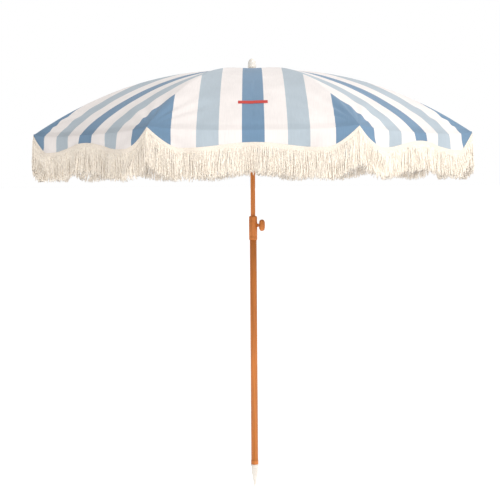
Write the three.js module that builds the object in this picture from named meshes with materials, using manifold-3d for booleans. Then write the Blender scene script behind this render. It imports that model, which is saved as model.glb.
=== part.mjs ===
// Beach umbrella with eight ribs, a fringed valance and a two-piece telescopic pole.
// Millimetres, +Z up the pole, origin at the tip of the ground spike, front towards -Y.
import * as THREE from 'three';
import { mergeVertices } from 'three/addons/utils/BufferGeometryUtils.js';
import Module from 'manifold-3d';

// ---- driving dimensions ----
const RIBS = 8;
const RIM_R = 1000; // rib tips from the pole's axis
const APEX_Z = 1937; // top of the cloth at the pole
const CANOPY_DROP = 313; // apex to rib tips
const CANOPY_POWER = 2.25; // drop grows with radius to this power
const CLOTH = 1;
const GAP = 0.4; // between neighbours that touch

const HUB_PIN_R = 30; // rib hinges from the axis
const HUB_PIN_Z = 1930.6;
const RIB_SECTION_R = 2.5;
const RIB_UNDER_CLOTH = 6.2;
const RIB_END_R = 994;
const EYE_R = 4;
const EYE_HALF = 2; // half thickness of a flattened end
const EYE_HOLE_R = 1.8;
const WIRE_R = 1.2;

const STRETCHER_AT_R = 330; // rib bracket from the axis
const BRACKET_DROP = 8; // rivet below the rib's centre line
const RUNNER_PIN_R = 26;
const RUNNER_PIN_Z = 1742;
const STRETCHER_HALF = 2.5;

const STEM_R = 4.9; // finial's stem, through the cap and the hub
const STEM_BORE = STEM_R + 0.5;
const CAP_R = 46;
const CAP_Z = [1940, 1942.5];
const DOME_R = 19.5;
const DOME_TOP = 1993;

const SPIKE_TOP = 107;
const SHOULDER_Z = 100; // underside of the spike's flange
const SHOULDER_R = 18;
const FOOT_RING_R = 17.2;
const FOOT_RING_TOP = 126;
const LOWER_R = 16;
const LOWER_BORE = 14;
const LOWER_TOP = 1204;
const UPPER_R = 11;
const UPPER_BORE = 9.8;
const UPPER_BOTTOM = 850;
const UPPER_TOP = 1905;
const COLLAR_R = 19.3;
const COLLAR_Z = [1149, 1260];
const KNOB_Z = 1217;
const KNOB_X = [27, 56];
const KNOB_R = 27;
const STUD_R = 3.5;
const STUD_END = 45;

const VALANCE_MIDDLE = 65; // depth at a panel's middle
const VALANCE_LOBE = 84; // depth at the lobes
const LOBE_AT = 0.62; // lobe position, as a share of the half panel
const NOTCH_FROM = 0.7; // where the hem starts to rise to the rib tip
const HEM_AT_RIB = 7; // depth of the hem below a rib tip
const FRINGE = 125;
const FRINGE_THICK = 4;

const HALF = Math.PI / RIBS;
const FRONT = -Math.PI / 2;

// ---- materials ----
const paint = (color, roughness, metalness = 0) =>
  new THREE.MeshStandardMaterial({ color, roughness, metalness });
const LOOKS = {
  cloth: paint(0x8fabc4, 0.9),
  fringe: paint(0xf6ecdc, 0.95),
  steel: paint(0xc9ccd0, 0.35, 1),
  white_plastic: paint(0xf2f1ee, 0.45),
  wood_finish: paint(0xcd7c3e, 0.45),
  spike_plastic: paint(0xeceeee, 0.3),
};

// ---- solids ----
const wasm = await Module();
wasm.setup();

function solid(geometry) {
  const bare = geometry.clone();
  bare.deleteAttribute('normal');
  bare.deleteAttribute('uv');
  const merged = mergeVertices(bare, 1e-4);
  return new wasm.Manifold(new wasm.Mesh({
    numProp: 3,
    vertProperties: new Float32Array(merged.attributes.position.array),
    triVerts: new Uint32Array(merged.index.array),
  }));
}

function geometryOf(body) {
  const mesh = body.getMesh();
  const geometry = new THREE.BufferGeometry();
  geometry.setAttribute('position', new THREE.BufferAttribute(mesh.vertProperties, 3));
  geometry.setIndex(new THREE.BufferAttribute(mesh.triVerts, 1));
  geometry.computeVertexNormals();
  return geometry;
}

// A turned body about Z from [radius, height] points going round its section anticlockwise.
function turned(points, segments = 16) {
  const outline = points.map(([r, z]) => new THREE.Vector2(r, z));
  return new THREE.LatheGeometry(outline, segments).rotateX(Math.PI / 2);
}

// A ring of rectangular section.
const ring = (inner, outer, low, high, segments = 16) =>
  turned([[inner, low], [outer, low], [outer, high], [inner, high], [inner, low]], segments);

const rodAlongX = (radius, from, to, segments = 12) =>
  new THREE.CylinderGeometry(radius, radius, to - from, segments)
    .rotateZ(Math.PI / 2).translate((from + to) / 2, 0, 0);

const rodAlongY = (radius, length, segments = 8) =>
  new THREE.CylinderGeometry(radius, radius, length, segments);

const block = (x, y, z) =>
  new THREE.BoxGeometry(x[1] - x[0], y[1] - y[0], z[1] - z[0])
    .translate((x[0] + x[1]) / 2, (y[0] + y[1]) / 2, (z[0] + z[1]) / 2);

// ---- shapes that several pieces share ----
const clothZ = (r) => APEX_Z - CANOPY_DROP * (r / RIM_R) ** CANOPY_POWER;
const ribZ = (r) => clothZ(r) - RIB_UNDER_CLOTH;
const rivet = { r: STRETCHER_AT_R, z: ribZ(STRETCHER_AT_R) - BRACKET_DROP };

// Depth of the valance below the rim at a share of the half panel from its middle.
function valanceDepth(share) {
  const f = Math.abs(share);
  const rise = Math.sin((Math.PI / 2) * Math.min(f / LOBE_AT, 1)) ** 2;
  const notch = 1 - (Math.max(f - NOTCH_FROM, 0) / (1 - NOTCH_FROM)) ** 1.5;
  const full = VALANCE_MIDDLE + (VALANCE_LOBE - VALANCE_MIDDLE) * rise;
  return HEM_AT_RIB + (full - HEM_AT_RIB) * notch;
}

// A closed sheet over a grid: top(i, j) gives [x, y, z], and the underside is set below it.
function plate(columns, rows, top, under) {
  const position = [];
  for (const side of [0, 1])
    for (let i = 0; i <= columns; i++)
      for (let j = 0; j <= rows; j++) {
        const point = top(i / columns, j / rows);
        position.push(...point.map((value, axis) => value - side * under[axis]));
      }
  const at = (side, i, j) => (side * (columns + 1) + i) * (rows + 1) + j;
  const faces = [];
  const quad = (a, b, c, d) => faces.push(a, b, c, a, c, d);
  for (let i = 0; i < columns; i++)
    for (let j = 0; j < rows; j++) {
      quad(at(0, i, j), at(0, i + 1, j), at(0, i + 1, j + 1), at(0, i, j + 1));
      quad(at(1, i, j), at(1, i, j + 1), at(1, i + 1, j + 1), at(1, i + 1, j));
    }
  for (let i = 0; i < columns; i++) {
    quad(at(0, i, 0), at(1, i, 0), at(1, i + 1, 0), at(0, i + 1, 0));
    quad(at(0, i, rows), at(0, i + 1, rows), at(1, i + 1, rows), at(1, i, rows));
  }
  for (let j = 0; j < rows; j++) {
    quad(at(0, 0, j), at(0, 0, j + 1), at(1, 0, j + 1), at(1, 0, j));
    quad(at(0, columns, j), at(1, columns, j), at(1, columns, j + 1), at(0, columns, j + 1));
  }
  const geometry = new THREE.BufferGeometry();
  geometry.setAttribute('position', new THREE.Float32BufferAttribute(position, 3));
  geometry.setIndex(faces);
  geometry.computeVertexNormals();
  return geometry;
}

// ---- pole ----
const groundSpike = () => turned([
  [0, 0], [3, 7], [12.5, 60], [14.5, 62], [14.5, 84], [15.6, 85], [15.6, 90], [14.5, 91],
  [14.5, SHOULDER_Z], [SHOULDER_R, SHOULDER_Z], [SHOULDER_R, SPIKE_TOP - GAP],
  [LOWER_BORE - GAP, SPIKE_TOP - GAP], [LOWER_BORE - GAP, 150], [0, 150],
]);
const footRing = () => ring(LOWER_R + GAP, FOOT_RING_R, SPIKE_TOP, FOOT_RING_TOP);
const lowerTube = () => ring(LOWER_BORE, LOWER_R, SPIKE_TOP, LOWER_TOP);
const upperTube = () => ring(UPPER_BORE, UPPER_R, UPPER_BOTTOM, UPPER_TOP);
const slidePlug = () => turned([
  [0, UPPER_BOTTOM - 12], [LOWER_BORE - GAP, UPPER_BOTTOM - 12], [LOWER_BORE - GAP, UPPER_BOTTOM - GAP],
  [UPPER_BORE - GAP, UPPER_BOTTOM - GAP], [UPPER_BORE - GAP, UPPER_BOTTOM + 30], [0, UPPER_BOTTOM + 30],
]);

const studHole = () => solid(rodAlongX(4, 0, 40, 12).translate(0, 0, KNOB_Z));
function collar() {
  const [low, high] = COLLAR_Z;
  const body = solid(turned([
    [LOWER_R + GAP, low], [COLLAR_R - 1.5, low], [COLLAR_R, low + 3], [COLLAR_R, high - 4],
    [COLLAR_R - 2.5, high], [UPPER_R + GAP, high], [UPPER_R + GAP, high - 4],
    [LOWER_BORE, high - 4], [LOWER_BORE, LOWER_TOP + GAP], [LOWER_R + GAP, LOWER_TOP + GAP],
    [LOWER_R + GAP, low],
  ]));
  return geometryOf(body.subtract(studHole()));
}
const collarBush = () => geometryOf(
  solid(ring(UPPER_R + GAP, LOWER_BORE - GAP, LOWER_TOP + GAP, COLLAR_Z[1] - 4 - GAP)).subtract(studHole()),
);

const knobStud = () => rodAlongX(STUD_R, UPPER_R + GAP, STUD_END, 12).translate(0, 0, KNOB_Z);
function knob() {
  const [near, far] = KNOB_X;
  const socket = STUD_END + 0.6 - near;
  const outline = [[STUD_R + GAP, 0], [12, 0], [KNOB_R - 5, 3], [KNOB_R, 10], [KNOB_R, 19], [KNOB_R - 6, 27]];
  outline.push([KNOB_R - 12, far - near], [0, far - near], [0, socket]);
  outline.push([STUD_R + GAP, socket], [STUD_R + GAP, 0]);
  const body = turned(outline);
  return body.rotateY(Math.PI / 2).translate(near, 0, KNOB_Z);
}

// ---- top hub ----
const slotCuts = (from, low, high) => {
  let cuts = null;
  for (let i = 0; i < RIBS; i++) {
    const cut = solid(block([from, 50], [-3, 3], [low, high]).rotateZ(FRONT + HALF + 2 * HALF * i));
    cuts = cuts ? cuts.add(cut) : cut;
  }
  return cuts;
};
const wire = (radius, at, z) => new THREE.TorusGeometry(at, radius, 5, 24).translate(0, 0, z);
function topHub() {
  const body = solid(turned([
    [UPPER_R + GAP, 1868], [15, 1868], [15, 1912], [18, 1922], [35, 1926], [35, 1936],
    [STEM_BORE, 1936], [STEM_BORE, UPPER_TOP + GAP], [UPPER_R + GAP, UPPER_TOP + GAP], [UPPER_R + GAP, 1868],
  ], 24));
  const groove = solid(wire(WIRE_R + GAP + 0.2, HUB_PIN_R, HUB_PIN_Z));
  return geometryOf(body.subtract(slotCuts(19, 1860, 1950)).subtract(groove));
}
const hubWire = () => wire(WIRE_R, HUB_PIN_R, HUB_PIN_Z);
const crownCap = () => ring(STEM_BORE, CAP_R, CAP_Z[0], CAP_Z[1], 24);
const finial = () => turned([
  [0, 1907], [STEM_R, 1907], [STEM_R, 1943], [17, 1943], [17, 1951], [DOME_R, 1952.5],
  [DOME_R, 1965], [18, 1975], [14.5, 1984], [9, 1990.5], [0, DOME_TOP],
]);

// ---- runner ----
function runner() {
  const body = solid(turned([
    [UPPER_R + GAP, 1702], [16, 1702], [17, 1704], [17, 1728], [20, 1733], [33, 1735],
    [33, 1749], [20, 1751], [17, 1756], [17, 1768], [15, 1770], [UPPER_R + GAP, 1770],
    [UPPER_R + GAP, 1702],
  ], 24));
  return geometryOf(body.subtract(slotCuts(20.5, 1690, 1752)));
}
const runnerGrip = () => ring(17 + GAP, 22, 1706, 1726, 16);

// ---- ribs and stretchers, in a frame with x out from the pole ----
class RibLine extends THREE.Curve {
  getPoint(t, target = new THREE.Vector3()) {
    const r = HUB_PIN_R + 4 + (RIB_END_R - HUB_PIN_R - 4) * t;
    return target.set(r, 0, ribZ(r));
  }
}
const roundSection = (radius, sides) => new THREE.Shape(
  Array.from({ length: sides }, (_, i) => new THREE.Vector2(
    radius * Math.cos((2 * Math.PI * i) / sides), radius * Math.sin((2 * Math.PI * i) / sides),
  )),
);
const eye = (r, z, half) => solid(rodAlongY(EYE_R, 2 * half, 10).translate(r, 0, z));
const eyeHole = (r, z) => solid(rodAlongY(EYE_HOLE_R, 20, 8).translate(r, 0, z));
const bracketPlate = () => block(
  [rivet.r - 5, rivet.r + 5], [-1, 1], [rivet.z, rivet.z + BRACKET_DROP],
);

function rib() {
  const rod = new THREE.ExtrudeGeometry(roundSection(RIB_SECTION_R, 6), {
    steps: 10, bevelEnabled: false, extrudePath: new RibLine(),
  });
  const neck = block([HUB_PIN_R, HUB_PIN_R + 12], [-EYE_HALF, EYE_HALF], [HUB_PIN_Z - 2.4, HUB_PIN_Z + 2]);
  return geometryOf(solid(rod)
    .add(eye(HUB_PIN_R, HUB_PIN_Z, EYE_HALF)).add(solid(neck))
    .subtract(eyeHole(HUB_PIN_R, HUB_PIN_Z))
    .add(solid(bracketPlate()))
    .add(solid(rodAlongY(4.5, 2, 10).translate(rivet.r, 0, rivet.z)))
    .add(solid(rodAlongY(1.3, 8, 8).translate(rivet.r, 0, rivet.z))));
}

function stretcher() {
  const run = Math.hypot(rivet.r - RUNNER_PIN_R, rivet.z - RUNNER_PIN_Z);
  const slope = Math.atan2(rivet.z - RUNNER_PIN_Z, rivet.r - RUNNER_PIN_R);
  const rod = block([0, run], [-2.4, 2.4], [-STRETCHER_HALF, STRETCHER_HALF]);
  const cheeks = rodAlongY(EYE_R, 7, 10).translate(run, 0, 0);
  const body = solid(rod).add(solid(cheeks)).add(solid(rodAlongY(EYE_R, 2 * EYE_HALF + 0.8, 10)))
    .subtract(solid(rodAlongY(EYE_HOLE_R, 20, 8)))
    .subtract(solid(rodAlongY(EYE_HOLE_R, 20, 8).translate(run, 0, 0)))
    .subtract(solid(block([run - 9, run + 9], [-1.4, 1.4], [-9, 9])));
  return geometryOf(body).rotateY(-slope).translate(RUNNER_PIN_R, 0, RUNNER_PIN_Z);
}

// ---- cloth, in a frame with x out through the middle of a panel ----
const GORE_IN = 50;
const GORE_ROWS = 8;
function gore() {
  return plate(GORE_ROWS, 2, (along, across) => {
    const r = GORE_IN + (RIM_R - 0.5 - GORE_IN) * along;
    const half = r * Math.sin(HALF) - GAP;
    return [r * Math.cos(HALF), (2 * across - 1) * half, clothZ(r) + CLOTH / 2];
  }, [0, 0, CLOTH]);
}

const RIM_X = RIM_R * Math.cos(HALF) + GAP;
const RIM_HALF = RIM_R * Math.sin(HALF) - 1;
const RIM_Z = clothZ(RIM_R);
const HEM_STEPS = 16;
const hem = (step) => {
  const share = (2 * step) / HEM_STEPS - 1;
  return { y: share * RIM_HALF, depth: valanceDepth(share) };
};
function hanging(topZ, bottomZ, thick) {
  return plate(HEM_STEPS, 1, (along, down) => {
    const { y, depth } = hem(Math.round(along * HEM_STEPS));
    return [RIM_X + thick, y, RIM_Z - (down ? topZ(depth) : bottomZ(depth))];
  }, [thick, 0, 0]);
}
const valance = () => hanging(() => -0.5, (depth) => depth, CLOTH);
const fringe = () => hanging((depth) => depth + GAP, (depth) => depth + FRINGE, FRINGE_THICK);

// ---- assembly ----
const group = new THREE.Group();
function place(name, geometry, material, turn = 0) {
  const mesh = new THREE.Mesh(geometry, material);
  mesh.name = name;
  mesh.rotation.z = turn;
  group.add(mesh);
}

place('ground_spike', groundSpike(), LOOKS.spike_plastic);
place('foot_ring', footRing(), LOOKS.wood_finish);
place('lower_pole_tube', lowerTube(), LOOKS.wood_finish);
place('collar', collar(), LOOKS.wood_finish);
place('collar_bush', collarBush(), LOOKS.white_plastic);
place('knob', knob(), LOOKS.wood_finish);
place('knob_stud', knobStud(), LOOKS.steel);
place('upper_pole_tube', upperTube(), LOOKS.wood_finish);
place('slide_plug', slidePlug(), LOOKS.white_plastic);
place('top_hub', topHub(), LOOKS.white_plastic);
place('hub_wire', hubWire(), LOOKS.steel);
place('crown_cap', crownCap(), LOOKS.white_plastic);
place('finial', finial(), LOOKS.spike_plastic);
place('runner', runner(), LOOKS.white_plastic);
place('runner_grip', runnerGrip(), LOOKS.white_plastic);

const shapes = {
  rib: rib(), stretcher: stretcher(), gore: gore(), valance: valance(), fringe: fringe(),
};
for (let i = 0; i < RIBS; i++) {
  const panelTurn = FRONT + 2 * HALF * i;
  const ribTurn = panelTurn - HALF;
  place(`rib_${i + 1}`, shapes.rib, LOOKS.steel, ribTurn);
  place(`stretcher_${i + 1}`, shapes.stretcher, LOOKS.steel, ribTurn);
  place(`gore_${i + 1}`, shapes.gore, LOOKS.cloth, panelTurn);
  place(`valance_${i + 1}`, shapes.valance, LOOKS.cloth, panelTurn);
  place(`fringe_${i + 1}`, shapes.fringe, LOOKS.fringe, panelTurn);
}

export default group;
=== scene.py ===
import math
import random

import bmesh
import bpy
from mathutils import Matrix, Vector, noise


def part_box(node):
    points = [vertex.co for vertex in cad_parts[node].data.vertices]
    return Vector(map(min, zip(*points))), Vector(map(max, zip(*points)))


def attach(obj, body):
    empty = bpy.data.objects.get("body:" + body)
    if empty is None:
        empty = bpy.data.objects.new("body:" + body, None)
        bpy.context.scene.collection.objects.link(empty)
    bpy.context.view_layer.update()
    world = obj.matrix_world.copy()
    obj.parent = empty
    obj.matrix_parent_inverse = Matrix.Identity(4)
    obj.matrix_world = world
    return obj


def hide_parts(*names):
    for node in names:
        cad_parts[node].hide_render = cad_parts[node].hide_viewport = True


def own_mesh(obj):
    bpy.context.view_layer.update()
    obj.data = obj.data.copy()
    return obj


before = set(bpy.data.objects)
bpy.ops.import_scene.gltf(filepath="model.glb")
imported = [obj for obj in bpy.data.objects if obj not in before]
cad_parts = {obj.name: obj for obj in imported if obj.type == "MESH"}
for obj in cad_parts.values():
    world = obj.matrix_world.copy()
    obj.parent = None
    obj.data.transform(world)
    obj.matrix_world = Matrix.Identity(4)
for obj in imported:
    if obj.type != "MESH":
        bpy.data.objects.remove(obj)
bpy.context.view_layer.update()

RIBS = 8
HALF = math.pi / RIBS  # half of one panel's angle about the pole
FRONT = -math.pi / 2  # the way panel 1 faces
SEED = 7

# ---- places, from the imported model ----
gore_low, gore_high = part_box("gore_1")
RIM_X = -gore_low[1]  # the rim's middle from the pole's axis
RIM_R = RIM_X / math.cos(HALF)
REACH = RIM_R * math.sin(HALF)  # half of a panel's rim
TOP_Z = gore_high[2]
CLOTH_THICK = 0.001
DROP = TOP_Z - gore_low[2] - CLOTH_THICK
POWER = 2.25  # how fast the canopy's fall steepens toward the rim
RIM_Z = TOP_Z - DROP
LOWER_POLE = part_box("lower_pole_tube")
POLE_R = LOWER_POLE[1][0]
UPPER_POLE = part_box("upper_pole_tube")
UPPER_R = UPPER_POLE[1][0]
collar_low, collar_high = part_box("collar")
knob_low, knob_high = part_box("knob")
KNOB_Z = (knob_low[2] + knob_high[2]) / 2
KNOB_R = (knob_high[2] - knob_low[2]) / 2

# ---- sizes of the canopy's looks, in metres ----
STRIPES = (0.041, 0.125, 0.206, 0.298)  # stripe edges from a panel's middle line
STRIPE_LOOKS = ("blue", "white", "pale", "white", "blue")
CLOTH_LOOKS = ["blue", "white", "pale"]
# (from, to, share of its width that stays when folded, name) of each width of a panel's cloth
FOLD_STRIPS = (
    (0.0, 0.041, 0.60, "middle"),
    (0.041, 0.125, 0.30, "inner"),
    (0.125, 0.206, 0.155, "side"),
    (0.206, 0.5, 0.015, "edge"),
)
CROWN_R = 0.046  # where the cloth starts, under the crown's disc
CLOTH_ROWS = 110  # steps along a panel
STRIPE_STEPS = 9  # steps across one stripe
VALANCE_MIDDLE, VALANCE_LOBE, LOBE_AT = 0.065, 0.084, 0.62
MIDDLE_LIFT = 0.013  # how much shorter the other panels hang in the middle than the front one
NOTCH_FROM, NOTCH_POWER = 0.7, 1.5
HEM_AT_RIB = 0.007
HEM_OVERLAP = 0.003  # how far the braid reaches up over the hem
HEADING = 0.017  # the braid's height
FRINGE = 0.120
FRINGE_AT_RIB = 0.024  # how much longer the strands are in a notch
ROLL, ROLL_LENGTH = 0.018, 0.042  # how the cloth rolls over the rim between the ribs
BULGE, BULGE_DEPTH = 0.006, 0.019
STRANDS = 420  # on each panel


def out(angle, r, t, z):
    """A point r out from the axis and t sideways, turned to an angle about the pole."""
    c, s = math.cos(angle), math.sin(angle)
    return Vector((r * c - t * s, r * s + t * c, z))


def panel_angle(i):
    return FRONT + 2 * HALF * i


def rib_angle(i):
    return panel_angle(i) - HALF


def cloth_z(r):
    return TOP_Z - DROP * (r / RIM_R) ** POWER


# ---- materials ----
def linear(*srgb):
    """A colour given as 0 to 255 sRGB values."""
    found = [v / 255 for v in srgb]
    return tuple(v / 12.92 if v <= 0.04045 else ((v + 0.055) / 1.055) ** 2.4 for v in found)


def shade(colour, factor):
    return tuple(min(v * factor, 1.0) for v in colour)


def grey(value):
    return (value,) * 3


class Nodes:
    """A small helper that adds shader nodes to a new material."""

    def __init__(self, name):
        self.material = bpy.data.materials.new(name)
        self.material.use_nodes = True
        self.tree = self.material.node_tree
        self.tree.nodes.clear()
        self.shader = self.add("ShaderNodeBsdfPrincipled")
        self.output = self.add("ShaderNodeOutputMaterial")
        self.link(self.shader.outputs[0], self.output.inputs["Surface"])

    def add(self, kind, **values):
        node = self.tree.nodes.new(kind)
        for key, value in values.items():
            if key in node.inputs:
                node.inputs[key].default_value = value
            else:
                setattr(node, key, value)
        return node

    def link(self, a, b):
        self.tree.links.new(a, b)

    def drive(self, name, value):
        """Links a value to one of the surface shader's inputs."""
        self.link(value, self.shader.inputs[name])

    def set(self, values):
        """Sets inputs of the surface shader that are the same all over."""
        for name, value in values.items():
            self.shader.inputs[name].default_value = value

    def stretch(self, vector, scale):
        node = self.add("ShaderNodeMapping", Scale=scale)
        self.link(vector, node.inputs["Vector"])
        return node.outputs["Vector"]

    def place(self, scale=(1, 1, 1)):
        return self.stretch(self.add("ShaderNodeTexCoord").outputs["Object"], scale)

    def noise(self, vector, scale, detail=3.0, roughness=0.55):
        node = self.add("ShaderNodeTexNoise", Scale=scale, Detail=detail, Roughness=roughness)
        self.link(vector, node.inputs["Vector"])
        return node.outputs["Fac"]

    def wave(self, vector, direction, scale, distortion, detail):
        node = self.add("ShaderNodeTexWave", Scale=scale, Distortion=distortion, Detail=detail)
        node.bands_direction = direction
        self.link(vector, node.inputs["Vector"])
        return node.outputs["Fac"]

    def ramp(self, value, low, high, at=(0.3, 0.7)):
        node = self.add("ShaderNodeValToRGB")
        self.link(value, node.inputs["Fac"])
        for stop, colour, where in zip(node.color_ramp.elements, (low, high), at):
            stop.color = (*colour, 1)
            stop.position = where
        return node.outputs["Color"]

    def mottle(self, value, colour, dark, light):
        """A colour that runs between a darker and a lighter shade of itself."""
        return self.ramp(value, shade(colour, dark), shade(colour, light))

    def multiply(self, a, b):
        node = self.add("ShaderNodeMix", data_type="RGBA", blend_type="MULTIPLY")
        node.inputs["Factor"].default_value = 1.0
        self.link(a, node.inputs["A"])
        self.link(b, node.inputs["B"])
        return node.outputs["Result"]

    def bump(self, height, strength, distance, below=None):
        node = self.add("ShaderNodeBump", Strength=strength, Distance=distance)
        self.link(height, node.inputs["Height"])
        if below is not None:
            self.link(below, node.inputs["Normal"])
        return node.outputs["Normal"]


def cloth_material(name, colour):
    """Plain woven cotton: a fine weave, faint slubs and a little light through the cloth."""
    n = Nodes(name)
    uv = n.add("ShaderNodeUVMap").outputs["UV"]
    weave = n.add("ShaderNodeMath", operation="MULTIPLY")
    for k, direction in enumerate(("X", "Y")):
        threads = n.wave(uv, direction, scale=190.0, distortion=0.6, detail=1.0)
        n.link(threads, weave.inputs[k])
    slubs = n.noise(n.stretch(uv, (260.0, 18.0, 1.0)), scale=1.0, detail=4.0)
    soft = n.noise(n.place(), scale=7.0)
    tone = n.multiply(n.mottle(soft, colour, 0.95, 1.04), n.ramp(slubs, grey(0.93), grey(1)))
    n.drive("Base Color", tone)
    n.set({"Roughness": 0.55, "Sheen Weight": 0.10, "Sheen Roughness": 0.5,
           "Specular IOR Level": 0.5})
    fine = n.bump(weave.outputs[0], strength=0.25, distance=0.0004)
    n.drive("Normal", n.bump(slubs, strength=0.25, distance=0.0006, below=fine))
    glow = n.add("ShaderNodeBsdfTranslucent")
    n.link(tone, glow.inputs["Color"])
    blend = n.add("ShaderNodeMixShader", Fac=0.13)
    n.link(n.shader.outputs[0], blend.inputs[1])
    n.link(glow.outputs[0], blend.inputs[2])
    n.link(blend.outputs[0], n.output.inputs["Surface"])
    return n.material


def yarn_material(name, colour):
    """Soft cotton yarn with an uneven tone and a fuzzy surface."""
    n = Nodes(name)
    where = n.place()
    n.drive("Base Color", n.mottle(n.noise(where, scale=120.0), colour, 0.88, 1.04))
    n.set({"Roughness": 0.95, "Sheen Weight": 0.1, "Specular IOR Level": 0.2})
    fuzz = n.noise(where, scale=900.0, detail=2.0)
    n.drive("Normal", n.bump(fuzz, strength=0.4, distance=0.0005))
    return n.material


def braid_material(name, colour):
    """A narrow woven braid: raised loops in rows across its width, with painted shade in the
    hollows between the rows.
    """
    n = Nodes(name)
    where = n.place()
    rows = n.wave(where, "Z", scale=85.0, distortion=2.5, detail=2.0)
    tone = n.noise(where, scale=260.0)
    # painted shade: the colour turns darker and warmer where the rows of loops dip, in the hollows
    # between them
    n.drive("Base Color", n.multiply(
        n.mottle(tone, colour, 0.86, 1.05), n.ramp(rows, (0.90, 0.88, 0.85), grey(1))))
    n.set({"Roughness": 0.95, "Specular IOR Level": 0.2})
    knots = n.bump(tone, strength=0.5, distance=0.0010)
    n.drive("Normal", n.bump(rows, strength=0.5, distance=0.0010, below=knots))
    return n.material


def wood_material(name, colour):
    """A satin wood-look coating: long fine grain along the pole under a clear coat."""
    n = Nodes(name)
    grain = n.noise(n.place((90, 90, 3.5)), scale=1.0, detail=6.0, roughness=0.6)
    streaks = n.noise(n.place((22, 22, 0.9)), scale=1.0)
    n.drive("Base Color", n.multiply(
        n.mottle(grain, colour, 0.74, 1.14), n.ramp(streaks, (0.88, 0.85, 0.82), grey(1))))
    wear = n.noise(n.place(), scale=60.0, detail=4.0)
    n.drive("Roughness", n.ramp(wear, grey(0.36), grey(0.5)))
    n.set({"Coat Weight": 0.10, "Coat Roughness": 0.3, "Specular IOR Level": 0.25})
    n.drive("Normal", n.bump(grain, strength=0.12, distance=0.0004))
    return n.material


def plastic_material(name, colour, roughness, through=0.0):
    """Moulded plastic with a faint mould texture. through is how milky it is."""
    n = Nodes(name)
    where = n.place()
    n.drive("Base Color", n.mottle(n.noise(where, scale=45.0), colour, 0.96, 1.02))
    scuff = n.noise(where, scale=220.0, detail=4.0)
    n.drive("Roughness", n.ramp(scuff, grey(roughness), grey(roughness + 0.12)))
    mould = n.noise(where, scale=1500.0, detail=2.0)
    n.drive("Normal", n.bump(mould, strength=0.08, distance=0.0003))
    if through:
        n.set({"Subsurface Weight": through, "Subsurface Radius": (0.02, 0.02, 0.02),
               "Coat Weight": 0.4})
    return n.material


def steel_material(name, colour, roughness):
    """Zinc-plated steel with fine marks and dull spots."""
    n = Nodes(name)
    where = n.place()
    tone = n.noise(where, scale=80.0, detail=5.0)
    n.drive("Base Color", n.mottle(tone, colour, 0.82, 1.05))
    n.set({"Metallic": 1.0})
    n.drive("Roughness", n.ramp(tone, grey(roughness), grey(roughness + 0.2)))
    marks = n.noise(where, scale=700.0, detail=2.0)
    n.drive("Normal", n.bump(marks, strength=0.1, distance=0.0003))
    return n.material


def floor_material(name):
    """A pale matt floor that gives a little light of its own."""
    n = Nodes(name)
    tone = n.noise(n.place(), scale=0.7, detail=2.0)
    n.drive("Base Color", n.ramp(tone, grey(0.86), grey(0.88)))
    n.set({"Roughness": 0.9, "Emission Color": (1, 1, 1, 1), "Emission Strength": 0.42})
    return n.material


LOOK = {
    "blue": cloth_material("cloth_blue", (0.150, 0.258, 0.385)),
    "white": cloth_material("cloth_white", (0.845, 0.785, 0.755)),
    "pale": cloth_material("cloth_pale", (0.425, 0.490, 0.540)),
    "red": cloth_material("cloth_red", linear(206, 50, 40)),
    "fringe": yarn_material("fringe_yarn", (0.980, 0.880, 0.765)),
    "braid": braid_material("fringe_braid", (0.900, 0.810, 0.710)),
    "wood": wood_material("pole_coating", (0.620, 0.200, 0.042)),
    "white_plastic": plastic_material("white_plastic", linear(240, 238, 234), 0.38),
    "milky_plastic": plastic_material("milky_plastic", linear(232, 225, 215), 0.24, 0.35),
    "steel": steel_material("zinc_steel", linear(205, 207, 210), 0.28),
    "floor": floor_material("floor_paint"),
}


# ---- meshes ----
def new_piece(name, points, faces, looks, face_looks=None, uvs=None, merge=0.0):
    mesh = bpy.data.meshes.new(name)
    mesh.from_pydata([tuple(p) for p in points], [], faces)
    for look in looks:
        mesh.materials.append(LOOK[look])
    if face_looks:
        mesh.polygons.foreach_set("material_index", face_looks)
    if uvs:
        layer = mesh.uv_layers.new(name="UVMap")
        for loop in mesh.loops:
            layer.data[loop.index].uv = uvs[loop.vertex_index]
    if merge:
        work = bmesh.new()
        work.from_mesh(mesh)
        bmesh.ops.remove_doubles(work, verts=work.verts, dist=merge)
        bmesh.ops.dissolve_degenerate(work, dist=merge, edges=work.edges)
        work.to_mesh(mesh)
        work.free()
    mesh.polygons.foreach_set("use_smooth", [True] * len(mesh.polygons))
    mesh.update()
    piece = bpy.data.objects.new(name, mesh)
    bpy.context.scene.collection.objects.link(piece)
    return piece


def grid(rows, columns, point, wrap=False):
    """Points and faces of a grid, where point(i, j) gives a place."""
    points = [point(i, j) for i in range(rows) for j in range(columns)]
    faces = []
    for i in range(rows - 1):
        here, below = i * columns, (i + 1) * columns
        for j in range(columns if wrap else columns - 1):
            k = (j + 1) % columns
            faces.append((here + j, here + k, below + k, below + j))
    return points, faces


ROUND_FROM = math.radians(35)  # edges sharper than this are rounded
ROUND_BY = 0.0005


def round_edges(piece):
    work = bmesh.new()
    work.from_mesh(piece.data)
    bmesh.ops.recalc_face_normals(work, faces=work.faces)
    sharp = [e for e in work.edges if len(e.link_faces) == 2 and e.calc_face_angle() > ROUND_FROM]
    bmesh.ops.bevel(work, geom=sharp, offset=ROUND_BY, segments=2, affect="EDGES",
                    clamp_overlap=True)
    work.to_mesh(piece.data)
    work.free()
    piece.data.polygons.foreach_set("use_smooth", [True] * len(piece.data.polygons))
    piece.data.update()


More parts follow.
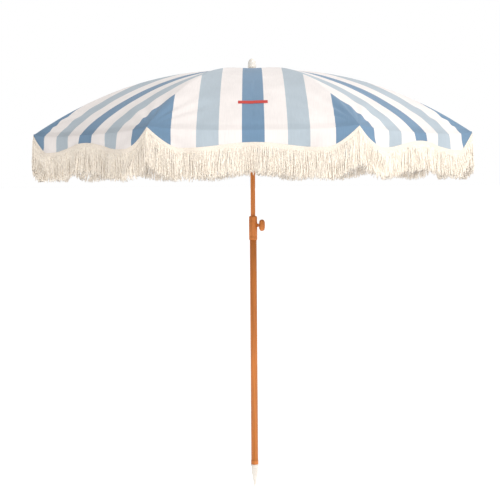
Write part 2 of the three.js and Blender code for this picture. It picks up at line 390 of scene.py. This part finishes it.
def turned(name, profile, look, body, stands_for, segments=64, sideways_at=None):
    """A turned solid from (radius, height) points, with its edges rounded.

    It stands on the pole's axis, or lies along X at a height when sideways_at gives one.
    """
    points, faces = grid(len(profile), segments, lambda i, j: (
        profile[i][0] * math.cos(2 * math.pi * j / segments),
        profile[i][0] * math.sin(2 * math.pi * j / segments),
        profile[i][1],
    ), wrap=True)
    piece = new_piece(name, points, faces, [look], merge=1e-6)
    if sideways_at is not None:
        lie = Matrix.Rotation(math.pi / 2, 4, "Y")
        piece.data.transform(Matrix.Translation((0, 0, sideways_at)) @ lie)
    round_edges(piece)
    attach(piece, body)
    if stands_for:
        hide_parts(*stands_for)


def path_frames(path):
    """(point, side, up) along a path, where the sides turn as little as they can."""
    last = len(path) - 1
    side = None
    for k, p in enumerate(path):
        ahead = (path[min(k + 1, last)] - path[max(k - 1, 0)]).normalized()
        if side is None:
            side = ahead.orthogonal().normalized()
        side = (side - ahead * side.dot(ahead)).normalized()
        yield p, side, ahead.cross(side)


def ring_faces(rings, sides):
    """The side faces and two end faces of a stack of rings."""
    faces = []
    for k in range(rings - 1):
        here, ahead = k * sides, (k + 1) * sides
        for j in range(sides):
            n = (j + 1) % sides
            faces.append((here + j, here + n, ahead + n, ahead + j))
    last = (rings - 1) * sides
    return faces + [tuple(reversed(range(sides))), tuple(range(last, last + sides))]


def tube(path, radius, sides=8, flat=1.0):
    """Points and faces of a closed tube along a path, with one radius or one for each point."""
    radii = radius if hasattr(radius, "__len__") else [radius] * len(path)
    points = []
    for k, (p, side, up) in enumerate(path_frames(path)):
        for j in range(sides):
            a = 2 * math.pi * j / sides
            points.append(p + radii[k] * (math.cos(a) * side + flat * math.sin(a) * up))
    return points, ring_faces(len(path), sides)


YARN_SIDES = 6
YARN_OVAL = 0.32  # how far a two-ply yarn's section is from round
YARN_END = 0.55  # the share of the radius that is left at the frayed end


def twisted(path, radius, turns, phase):
    """A two-ply yarn: its section is an oval that turns along the path."""
    last = len(path) - 1
    points = []
    for k, (p, side, up) in enumerate(path_frames(path)):
        spin = phase + 2 * math.pi * turns * k / last
        scale = radius * (YARN_END if k == last else 1.0)
        for j in range(YARN_SIDES):
            b = 2 * math.pi * j / YARN_SIDES
            oval = scale * (1 + YARN_OVAL * math.cos(2 * b))
            points.append(p + oval * (math.cos(b + spin) * side + math.sin(b + spin) * up))
    return points, ring_faces(len(path), YARN_SIDES)


class Parts:
    """Collects points and faces of several bodies for one piece."""

    def __init__(self):
        self.points, self.faces = [], []

    def add(self, found):
        points, faces = found
        start = len(self.points)
        self.points += points
        self.faces += [tuple(start + v for v in face) for face in faces]


# ---- camera, light and floor ----
CAMERA_PLACE = (-0.013, -4.1, 1.420)
CAMERA_ROLL = math.radians(0.4)
LENS, SENSOR, SHIFT_Y = 63.4, 36.0, -0.1366
FLOOR_HALF, FLOOR_Z = 200, -0.002
# (name, place, disc size, power); each lamp faces the canopy
LAMPS = (("key", (2.2, -3.0, 4.9), 2.0, 88), ("front", (1.2, -4.5, 1.6), 1.8, 18))
LAMPS_AIM = Vector((0, 0, 1.6))


def add_camera():
    data = bpy.data.cameras.new("camera")
    data.sensor_width = SENSOR
    data.lens = LENS
    data.shift_y = SHIFT_Y
    camera = bpy.data.objects.new("camera", data)
    camera.location = CAMERA_PLACE
    camera.rotation_euler = (math.radians(90), CAMERA_ROLL, 0)
    bpy.context.scene.collection.objects.link(camera)
    bpy.context.scene.camera = camera


def add_lamp(name, place, size, power):
    data = bpy.data.lights.new(name, "AREA")
    data.shape = "DISK"
    data.size = size
    data.energy = power
    lamp = bpy.data.objects.new(name, data)
    lamp.location = place
    lamp.rotation_euler = (LAMPS_AIM - Vector(place)).to_track_quat("-Z", "Y").to_euler()
    bpy.context.scene.collection.objects.link(lamp)


def smooth_step(tree, value, from_min, from_max, to_min=0.0, to_max=1.0):
    node = tree.nodes.new("ShaderNodeMapRange")
    node.interpolation_type = "SMOOTHSTEP"
    ends = {"From Min": from_min, "From Max": from_max, "To Min": to_min, "To Max": to_max}
    for name, end in ends.items():
        node.inputs[name].default_value = end
    tree.links.new(value, node.inputs["Value"])
    return node.outputs["Result"]


def add_studio():
    world = bpy.data.worlds.new("studio")
    world.use_nodes = True
    tree = world.node_tree
    back = tree.nodes["Background"]
    coords = tree.nodes.new("ShaderNodeTexCoord")
    split = tree.nodes.new("ShaderNodeSeparateXYZ")
    tree.links.new(coords.outputs["Generated"], split.inputs[0])
    # white all round the horizon; high up it runs from dim on the left to bright on the right
    high = smooth_step(tree, split.outputs["Z"], 0.24, 0.55)
    side = smooth_step(tree, split.outputs["X"], -0.6, 0.35, 0.28, 1.10)
    mix = tree.nodes.new("ShaderNodeMix")
    mix.inputs["A"].default_value = 1.0
    tree.links.new(high, mix.inputs["Factor"])
    tree.links.new(side, mix.inputs["B"])
    tree.links.new(mix.outputs["Result"], back.inputs["Strength"])
    back.inputs["Color"].default_value = (1, 1, 1, 1)
    bpy.context.scene.world = world
    bpy.context.scene.view_settings.view_transform = "Standard"
    for lamp in LAMPS:
        add_lamp(*lamp)
    points, faces = grid(2, 2, lambda i, j: (
        FLOOR_HALF * (2 * i - 1), FLOOR_HALF * (2 * j - 1), FLOOR_Z))
    new_piece("floor", points, faces, ["floor"])


# ---- canopy ----
SAG, SAG_POWER = 0.010, 1.3  # slack between two ribs, and how far out it is deepest
SEAM_DIP, SEAM_WIDTH = 0.0009, 0.003
FREE_FROM_SEAM, FREE_FROM_RIM = 0.02, 0.03  # distances over which the cloth comes loose
CREASE, CREASES, CREASE_AT, CREASE_SPREAD = 0.0044, 13, 0.05, 0.17
PUCKER, PUCKER_STEP, PUCKER_WIDTH = 0.0007, 0.036, 0.018
RIPPLE = 0.0022


def rim_roll(share):
    """How far the rim dips between two ribs, where the slack cloth rolls into the valance."""
    return ROLL * (1 - min(abs(share), 1.0) ** 4)


def gore_point(i, r, t):
    """A point of panel i's cloth, r along the rib direction and t from its middle line."""
    half = r * math.sin(HALF)
    edge = max(half - abs(t), 0.0)
    inside = 1 - math.exp(-edge / FREE_FROM_SEAM)
    rim = 1 - math.exp(-(RIM_R - r) / FREE_FROM_RIM)
    share = min(abs(t) / max(half, 1e-6), 1.0)
    z = cloth_z(r)
    z -= SAG * (1 - share * share) * math.sin(math.pi * min(r / RIM_R, 1) ** SAG_POWER)
    z -= SEAM_DIP * math.exp(-edge / SEAM_WIDTH)
    z -= rim_roll(share) * math.exp(-(RIM_R - r) / ROLL_LENGTH)
    seed = 3.7 * i + (1.3 if t > 0 else 0.0)
    # creases fan out from each rib's tip
    away = math.hypot(RIM_R - r, edge)
    angle = math.atan2(edge, RIM_R - r + 1e-6)
    near_tip = math.exp(-((away - CREASE_AT) / CREASE_SPREAD) ** 2)
    z += CREASE * math.sin(CREASES * angle + seed) * near_tip * inside * rim
    # the sewn seams pucker the cloth beside them
    along = 2 * math.pi * r / PUCKER_STEP + 2 * math.sin(9 * r + seed)
    z += PUCKER * math.sin(along) * math.exp(-edge / PUCKER_WIDTH) * inside
    z += RIPPLE * noise.noise(Vector((r * 5 + seed, t * 7, i * 2.1))) * inside * rim
    return r * math.cos(HALF), t, z


def gore_radii():
    """Rows along a panel, with one where each stripe's edge meets the seam."""
    step = (RIM_R - CROWN_R) / CLOTH_ROWS
    found = {CROWN_R + step * k for k in range(CLOTH_ROWS + 1)}
    found |= {edge / math.sin(HALF) for edge in STRIPES}
    return sorted(found)


def stripe_bands(low, high):
    """(from, to, look) of each stripe between two distances from a panel's middle line."""
    edges = (0.0, *STRIPES, 1.0)
    found = []
    for a, b, look in zip(edges, edges[1:], STRIPE_LOOKS):
        a, b = max(a, low), min(b, high)
        if b > a:
            found.append((a, b, look))
    return found


def gore_piece(i, name, sides, low, high):
    """One width of panel i's cloth, on one side of the middle line or on both, and its area."""
    points, faces, looks, uvs = [], [], [], []
    radii = gore_radii()
    for side in sides:
        for near, far, look in stripe_bands(low, high):
            rows = []
            for r in radii:
                half = r * math.sin(HALF)
                if half < near - 1e-9:
                    continue
                end = min(far, half)
                row = []
                for k in range(STRIPE_STEPS + 1):
                    t = side * (near + (end - near) * k / STRIPE_STEPS)
                    row.append(len(points))
                    points.append(gore_point(i, r, t))
                    uvs.append((t, r * 1.06))
                rows.append(row)
            for a, b in zip(rows, rows[1:]):
                for k in range(STRIPE_STEPS):
                    face = (a[k], b[k], b[k + 1], a[k + 1])
                    faces.append(face if side < 0 else face[::-1])
                    looks.append(CLOTH_LOOKS.index(look))
    turn = panel_angle(i)
    placed = [out(turn, *p) for p in points]
    piece = new_piece(name, placed, faces, CLOTH_LOOKS, looks, uvs, merge=2e-5)
    return piece, sum(face.area for face in piece.data.polygons)


def add_gore(i):
    for low, high, keep, name in FOLD_STRIPS:
        middle = low == 0.0
        for sides in ((-1, 1),) if middle else ((-1,), (1,)):
            tag = name if middle else f"{name}_{'right' if sides[0] > 0 else 'left'}"
            piece, area = gore_piece(i, f"canopy_{i + 1}_{tag}", sides, low, high)
            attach(piece, f"gore_{i + 1}")
            if middle:
                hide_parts(f"gore_{i + 1}")
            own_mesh(piece)


# ---- valance and fringe ----
CORNER_OVERLAP = 0.0009  # how far the cloth of one panel runs past its corner
VALANCE_ROWS, TUCKED_ROWS, HEADING_ROWS = 19, 3, 9
HEM_BAND, HEM_PROUD = 0.009, 0.0007  # the turned hem's height and how proud it stands
ALLOWANCE = 0.019  # the seam allowance inside the rim
COLUMN_WIDTH = 0.008
YARN_STEPS = 13  # points along one yarn


def hem_depth(i, share):
    """How far the hem of panel i hangs below the rim, at a share of the way out to a rib."""
    f = min(abs(share), 1.0)
    rise = math.sin((math.pi / 2) * min(f / LOBE_AT, 1)) ** 2
    notch = 1 - (max(f - NOTCH_FROM, 0) / (1 - NOTCH_FROM)) ** NOTCH_POWER
    middle = VALANCE_MIDDLE - (MIDDLE_LIFT if i else 0.0)
    full = middle + (VALANCE_LOBE - middle) * rise
    return HEM_AT_RIB + (full - HEM_AT_RIB) * notch


def hang_point(i, t, depth):
    """A point of the cloth that hangs below panel i's rim, depth below it."""
    share = t / REACH
    seed = 2.1 * i
    side = 1 if t > 0 else -1
    # loose waves, freer lower down and held at the ribs
    free = min(max(depth - 0.012, 0) / 0.08, 1.6) * (1 - abs(share) ** 6)
    wave = 0.0060 * math.sin(2 * math.pi * t / 0.255 + seed)
    wave += 0.0028 * math.sin(2 * math.pi * t / 0.11 + 2 * seed)
    wave += 0.004 * noise.noise(Vector((t * 9, depth * 6, 5.0 * i)))
    # slack cloth drags in slanted folds from each rib tip down to the lobe
    slant = (1 - abs(share)) * 5.5 - depth * 26
    slant += 0.7 * noise.noise(Vector((seed, side, depth * 8)))
    drag = math.exp(-((abs(share) - 0.80) / 0.16) ** 2)
    drag *= math.sin(math.pi * min(depth / 0.05, 1) / 2)
    wave += 0.0075 * drag * math.sin(2.4 * slant + seed * side)
    below = max(depth - rim_roll(share), 0.0)
    bulge = BULGE * (1 - math.exp(-below / BULGE_DEPTH)) * (1 - share ** 8)
    return RIM_X + 0.0012 + bulge + wave * free, t, RIM_Z - depth


def hem_columns():
    """Places across a panel's rim, with one at each stripe's edge."""
    end = REACH + CORNER_OVERLAP
    marks = sorted({-end, end, *(s * e for e in STRIPES for s in (-1, 1))})
    found = []
    for a, b in zip(marks, marks[1:]):
        count = max(2, round((b - a) / COLUMN_WIDTH))
        found += [a + (b - a) * k / count for k in range(count)]
    return found + [end]


def stripe_of(t):
    for edge, look in zip(STRIPES, STRIPE_LOOKS):
        if abs(t) < edge:
            return look
    return STRIPE_LOOKS[-1]


def add_valance(i):
    columns = hem_columns()
    end = columns[-1]
    turn = panel_angle(i)

    def point(row, column):
        t = columns[column]
        if row < TUCKED_ROWS:
            # the seam allowance runs up inside the panel, under its rolled rim
            r = RIM_R - 0.002 - ALLOWANCE * (TUCKED_ROWS - row) / TUCKED_ROWS
            x, t, z = gore_point(i, r, t * r / RIM_R * 0.995)
            return out(turn, x - 0.0010, t, z - 0.0014)
        depth = hem_depth(i, t / end)
        start = min(rim_roll(t / end), depth - 0.001) - 0.0008
        at = start + (depth - start) * (row - TUCKED_ROWS) / (VALANCE_ROWS - 1 - TUCKED_ROWS)
        r, t, z = hang_point(i, t, at)
        if depth - at < HEM_BAND:
            r += HEM_PROUD
        return out(turn, r, t, z)

    points, faces = grid(VALANCE_ROWS, len(columns), point)
    across = [CLOTH_LOOKS.index(stripe_of((a + b) / 2)) for a, b in zip(columns, columns[1:])]
    looks = across * (VALANCE_ROWS - 1)
    uvs = [(columns[k % len(columns)], points[k].z) for k in range(len(points))]
    return new_piece(f"valance_cloth_{i + 1}", points, faces, CLOTH_LOOKS, looks, uvs)


def add_heading(i):
    """The woven braid that the fringe hangs from, sewn over the hem."""
    columns = hem_columns()
    end = columns[-1]
    turn = panel_angle(i)

    def point(row, column):
        share = row / (HEADING_ROWS - 1)
        t = columns[column] * (1 + 0.0010 / end)
        depth = hem_depth(i, t / end) + HEADING * share - HEM_OVERLAP
        r, t, z = hang_point(i, t, depth)
        swell = 0.0009 * math.sin(math.pi * share) ** 0.5
        knot = 0.0005 * math.sin(2 * math.pi * t / 0.006) * math.sin(2 * math.pi * share)
        return out(turn, r + 0.0016 + swell + knot, t, z)

    points, faces = grid(HEADING_ROWS, len(columns), point)
    return new_piece(f"fringe_heading_{i + 1}", points, faces, ["braid"])


def add_strands(i, rng):
    """The loose two-ply yarns, in a front and a back layer, that start inside the braid."""
    end = REACH + 0.003
    turn = panel_angle(i)
    strands = Parts()
    for k in range(STRANDS):
        t = -end + 2 * end * (k + 0.5 + rng.uniform(-0.4, 0.4)) / STRANDS
        back = k % 2
        top = hem_depth(i, t / end) + HEADING - 0.010 + rng.uniform(-0.002, 0.002)
        near_rib = max(abs(t / end) - NOTCH_FROM, 0) / (1 - NOTCH_FROM)
        clump = 0.007 * noise.noise(Vector((t * 42, 3.3 * i, 0.5 * back)))
        sway = (clump + rng.uniform(-0.003, 0.003)) * (1 - 0.7 * near_rib)
        length = FRINGE - HEADING + 0.005 + FRINGE_AT_RIB * near_rib + rng.uniform(-0.013, 0.005)
        lean = rng.uniform(-0.004, 0.005)
        phase = rng.uniform(0, 6.28)
        curl = rng.uniform(0.0006, 0.0016)
        inside, proud = -0.0018, 0.0004 if back else 0.0036
        path = []
        for step in range(YARN_STEPS):
            down = step / (YARN_STEPS - 1)
            side = t + sway * down ** 1.3 + curl * math.sin(9 * down + phase)
            side = max(-end, min(end, side))
            r, _, z = hang_point(i, side, top + length * down)
            r += inside + (proud - inside) * min(8 * down, 1) + lean * down
            r += curl * math.cos(8 * down + phase) * down ** 0.5
            path.append(out(turn, r, side, z))
        strands.add(twisted(path, rng.uniform(0.0016, 0.0023), rng.uniform(3, 4.5), phase))
    return new_piece(f"fringe_strands_{i + 1}", strands.points, strands.faces, ["fringe"])


def add_hanging(i, rng):
    cloth, heading, strands = add_valance(i), add_heading(i), add_strands(i, rng)
    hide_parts(f"valance_{i + 1}")
    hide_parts(f"fringe_{i + 1}")
    for piece in (cloth, heading, strands):
        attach(piece, f"valance_{i + 1}")
        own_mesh(piece)


LABEL_FROM, LABEL_TO, LABEL_HALF = 0.829, 0.852, 0.056
LABEL_PROUD = 0.0012
LABEL_ROWS, LABEL_COLUMNS = 6, 25


def add_label():
    """A blank woven label sewn across the front panel's middle stripe."""
    points, faces = grid(LABEL_ROWS, LABEL_COLUMNS, lambda a, b: gore_point(
        0,
        LABEL_FROM + (LABEL_TO - LABEL_FROM) * a / (LABEL_ROWS - 1),
        LABEL_HALF * (2 * b / (LABEL_COLUMNS - 1) - 1),
    ))
    lifted = [out(FRONT, x, t, z + LABEL_PROUD) for x, t, z in points]
    uvs = [(t, x) for x, t, z in points]
    label = new_piece("blank_label", lifted, [f[::-1] for f in faces], ["red"], None, uvs)
    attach(label, "gore_1")
    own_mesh(label)


# ---- pole, clamp and spike: profiles are (radius, height) ----
CLEAR = 0.0004  # room between two turned pieces
LOWER_WALL, UPPER_WALL = 0.002, 0.0012


def add_pole_tube(name, box, wall, body, node):
    low, high, r = box[0][2], box[1][2], box[1][0]
    inner = r - wall
    turned(name, [(inner, high), (inner, low), (r, low), (r, high), (inner, high)],
           "wood", body, [node])


def add_collar():
    low, high = collar_low[2], collar_high[2]
    r = collar_high[0]
    turned("pole_collar", [
        (POLE_R + CLEAR, low), (r - 0.0022, low), (r - 0.0006, low + 0.0012), (r, low + 0.004),
        (r, low + 0.016), (r - 0.0008, low + 0.0175), (r, low + 0.019),
        (r, high - 0.019), (r - 0.0008, high - 0.0175), (r, high - 0.016),
        (r, high - 0.006), (r - 0.0012, high - 0.002), (r - 0.0035, high),
        (UPPER_R + CLEAR, high), (UPPER_R + CLEAR, high - 0.006),
    ], "wood", "lower_pole", ["collar"])
    bush_low, bush_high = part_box("collar_bush")
    low, high = bush_low[2], bush_high[2]
    inner, outer = UPPER_R + CLEAR, bush_high[0] - 0.0002
    turned("sliding_bush", [(inner, low), (outer, low), (outer, high), (inner, high), (inner, low)],
           "white_plastic", "lower_pole", ["collar_bush"])


KNOB_SIDES, KNOB_RINGS = 96, 31
FLUTES, FLUTE_DEPTH = 12, 0.0011
NECK_R = 0.0095  # the knob's radius on the side of the pole
STUD_R = 0.0034


def add_knob():
    """A fluted hand knob on its stud, with a boss where the stud enters the collar."""
    near, far = knob_low[0], knob_high[0]

    def point(ring, j):
        a = 2 * math.pi * j / KNOB_SIDES
        share = ring / (KNOB_RINGS - 1)
        swell = max(1 - abs(2 * share - 1) ** 3.2, 0.0) ** (1 / 2.4)
        flute = FLUTE_DEPTH * abs(math.cos(FLUTES * a / 2)) ** 6 * min(swell, 1) ** 4
        r = max((KNOB_R - flute) * swell, 0.0005 if share > 0.5 else NECK_R)
        return near + (far - near) * share, r * math.cos(a), KNOB_Z + r * math.sin(a)

    points, faces = grid(KNOB_RINGS, KNOB_SIDES, point, wrap=True)
    last = (KNOB_RINGS - 1) * KNOB_SIDES
    faces += [tuple(range(KNOB_SIDES)), tuple(range(last, last + KNOB_SIDES))]
    knob = new_piece("clamp_knob", points, faces, ["wood"])
    round_edges(knob)
    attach(knob, "clamp")
    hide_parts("knob")
    start, end = UPPER_R + 0.0006, near + 0.004
    turned("clamp_stud", [(0, start), (STUD_R, start), (STUD_R, end), (0, end)],
           "steel", "clamp", ["knob_stud"], 32, KNOB_Z)
    bore, start, end = 0.0042, collar_high[0] - 0.001, near - 0.0012
    turned("collar_boss", [(bore, start), (0.0085, start), (0.0078, end), (bore, end)],
           "wood", "lower_pole", None, 40, KNOB_Z)


def add_spike():
    low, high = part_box("foot_ring")
    top = low[2] - CLEAR
    turned("spike_body", [
        (0, 0), (0.0016, 0.0012), (0.0034, 0.0075), (0.0125, 0.060), (0.0145, 0.0625),
        (0.0145, 0.084), (0.0156, 0.0852), (0.0156, 0.0898), (0.0145, 0.091), (0.0145, 0.1000),
        (0.0180, 0.1002), (0.0180, top), (0.0135, top), (0.0135, 0.149), (0, 0.149),
    ], "milky_plastic", "lower_pole", ["ground_spike"])
    turned("foot_collar", [
        (POLE_R + CLEAR, low[2]), (high[0] - 0.0006, low[2]), (high[0], low[2] + 0.002),
        (high[0], high[2] - 0.003), (high[0] - 0.001, high[2]), (POLE_R + CLEAR, high[2]),
    ], "wood", "lower_pole", ["foot_ring"])


DOME_HEIGHT, DOME_STEPS = 0.0300, 14
DOME_FULLNESS = 0.85  # below 1, the dome's shoulder is fuller than a half ball's


def add_crown():
    low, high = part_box("finial")
    top, r = high[2], high[0]
    neck, stem = 0.0170, 0.0048
    profile = [
        (0, low[2]), (stem, low[2]), (stem, top - 0.0500), (neck, top - 0.0500),
        (neck, top - 0.0422), (r, top - 0.0408), (r, top - 0.0365), (r - 0.0007, top - 0.0355),
    ]
    for k in range(DOME_STEPS):
        a = math.radians(90 * k / DOME_STEPS)
        profile.append(((r - 0.0004) * math.cos(a) ** DOME_FULLNESS,
                        top - DOME_HEIGHT + DOME_HEIGHT * math.sin(a)))
    turned("top_finial", profile + [(0, top)], "milky_plastic", "upper_pole", ["finial"])
    low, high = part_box("crown_cap")
    bore = 0.0054
    turned("crown_disc", [
        (bore, low[2]), (high[0], low[2]), (high[0], low[2] + 0.0012), (high[0] - 0.004, high[2]),
        (bore, high[2]), (bore, low[2]),
    ], "white_plastic", "upper_pole", ["crown_cap"])


# ---- ribs and stretchers ----
RIB_R, RIB_END, RIB_STEPS = 0.0024, 0.990, 40
RIB_BELOW = 0.0067  # the rib's middle line below the cloth
PIN_R = 0.030  # the ribs' hinge from the pole's axis
RIVET_AT, RIVET_BELOW = 0.330, 0.0078
TIP_AT, TIP_STEP = 0.972, 0.0026
TIP_RADII = [0.0032] + [0.0038] * 7 + [0.0036, 0.0030, 0.0012]


def rib_path(turn, radii):
    """Points on a rib's middle line at distances from the pole's axis."""
    return [out(turn, r, 0, cloth_z(r) - RIB_BELOW) for r in radii]


def add_rib(i):
    turn = rib_angle(i)
    pin_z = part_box(f"rib_{i + 1}")[1][2] - 0.004
    line_z = cloth_z(RIVET_AT) - RIB_BELOW
    rivet_z = line_z - RIVET_BELOW
    found = Parts()

    def pin(r, z, start, end, radius, sides):
        """A short round bar across the rib."""
        found.add(tube([out(turn, r, start, z), out(turn, r, end, z)], radius, sides))

    radii = [PIN_R + 0.004 + (RIB_END - PIN_R) * k / RIB_STEPS for k in range(RIB_STEPS + 1)]
    found.add(tube(rib_path(turn, radii), RIB_R, 10))
    pin(PIN_R, pin_z, -0.002, 0.002, 0.0038, 20)
    for s in (-1, 1):
        plate = [out(turn, RIVET_AT, s * 0.0009, rivet_z),
                 out(turn, RIVET_AT, s * 0.0012, line_z + 0.001)]
        found.add(tube(plate, [0.0042, 0.0046], 14, 0.25))
    pin(RIVET_AT, rivet_z, -0.0042, 0.0042, 0.0012, 14)
    for s in (-1, 1):
        pin(RIVET_AT, rivet_z, s * 0.0036, s * 0.0046, [0.0024, 0.0015], 16)
    rib = new_piece(f"rib_rod_{i + 1}", found.points, found.faces, ["steel"])
    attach(rib, f"rib_{i + 1}")
    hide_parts(f"rib_{i + 1}")
    tip = rib_path(turn, [TIP_AT + TIP_STEP * k for k in range(len(TIP_RADII))])
    cap = new_piece(f"rib_tip_{i + 1}", *tube(tip, TIP_RADII, 16), ["white_plastic"])
    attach(cap, f"rib_{i + 1}")


def recolour(node, look):
    """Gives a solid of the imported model, shown as it is, its material."""
    for slot in bpy.data.objects[node].material_slots:
        slot.material = LOOK[look]


def main():
    add_camera()
    add_studio()
    rng = random.Random(SEED)
    for i in range(RIBS):
        add_gore(i)
        add_hanging(i, rng)
    add_label()
    add_pole_tube("lower_pole", LOWER_POLE, LOWER_WALL, "lower_pole", "lower_pole_tube")
    add_pole_tube("upper_pole", UPPER_POLE, UPPER_WALL, "upper_pole", "upper_pole_tube")
    add_collar()
    add_knob()
    add_spike()
    add_crown()
    for i in range(RIBS):
        add_rib(i)
        recolour(f"stretcher_{i + 1}", "steel")
    for node in ("top_hub", "runner", "runner_grip", "slide_plug"):
        recolour(node, "white_plastic")
    recolour("hub_wire", "steel")


main()
